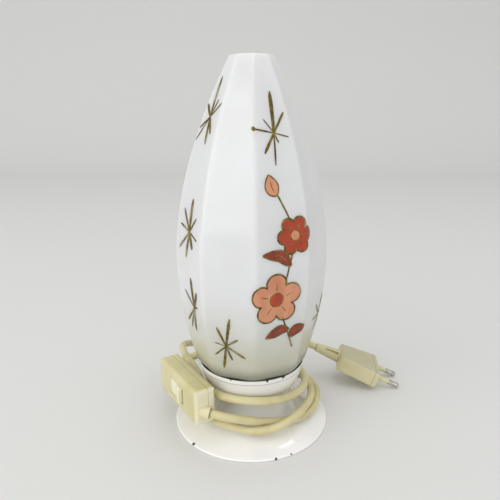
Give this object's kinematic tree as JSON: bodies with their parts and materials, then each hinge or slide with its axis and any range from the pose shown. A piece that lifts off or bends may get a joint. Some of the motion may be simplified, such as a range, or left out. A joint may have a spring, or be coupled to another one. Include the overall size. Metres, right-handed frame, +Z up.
{
  "type": "table lamp",
  "caption": "Small bedside lamp with a nine-sided opal glass bullet shade in an enamelled cup on a flared foot, its lead wound round the neck, with an in-line rocker switch and a two-pin plug.",
  "frame": {"origin": "on the table under the middle of the foot", "axes": "+Z up along the lamp's axis, -Y towards the camera, +X towards the plug, at the camera's right"},
  "size_m": [0.1918, 0.1611, 0.252],
  "materials": {
    "enamel": "gloss white enamel with a few chips",
    "opal_glass": "opaque white opal glass with painted gold starbursts",
    "brass": "bright",
    "zinc_steel": "zinc plated",
    "holder_plastic": "ivory phenolic",
    "ceramic": "white steatite",
    "clear_glass": "clear",
    "aluminium": "rolled thread",
    "dark_insulator": "black vitrite",
    "core_insulation": "matte",
    "cord_plastic": "aged cream sheath, satin",
    "switch_plastic": "aged cream, satin",
    "plug_plastic": "aged cream-grey, satin",
    "nickel": "bright nickel"
  },
  "bodies": {
    "base": {"enamel_foot": "enamel", "enamel_cup": "enamel", "threaded_tube": "brass", "tube_nut": "zinc_steel", "tube_washer": "zinc_steel", "holder_base": "holder_plastic", "holder_body": "holder_plastic", "holder_insert": "ceramic", "screw_shell": "brass", "centre_contact": "brass", "holder_terminal_screws": "zinc_steel", "cord_gland": "switch_plastic", "lamp_cores": "core_insulation", "cord_winding": "cord_plastic", "cord_tail": "cord_plastic", "switch_front": "switch_plastic", "switch_back": "switch_plastic", "rocker_pin": "zinc_steel", "fixed_contacts": "brass", "switch_terminal_screws": "zinc_steel", "casing_screws": "zinc_steel", "bush_near": "switch_plastic", "bush_far": "switch_plastic", "switch_cores": "core_insulation", "plug_body": "plug_plastic", "plug_relief": "plug_plastic", "plug_pins": "nickel", "pin_sleeves": "plug_plastic"},
    "shade": {"glass_shade": "opal_glass"},
    "bulb": {"bulb_glass": "clear_glass", "bulb_cap": "aluminium", "bulb_insulator": "dark_insulator", "bulb_contact": "zinc_steel", "bulb_stem": "clear_glass", "filament": "zinc_steel"},
    "rocker": {"rocker": "switch_plastic", "contact_bridge": "brass"}
  },
  "joints": [
    {"name": "shade_lift", "type": "slide", "parent": "base", "child": "shade", "axis": [0, 0, 1], "range_m": [0, 0.12]},
    {"name": "bulb_turn", "type": "hinge", "parent": "base", "child": "bulb", "pos_m": [0, 0, 0.06], "axis": [0, 0, 1], "range_deg": [0, 720]},
    {"name": "rocker_tilt", "type": "hinge", "parent": "base", "child": "rocker", "pos_m": [-0.04874, -0.01911, 0.0315], "axis": [0, 0, 1], "range_deg": [0, 18]}
  ]
}
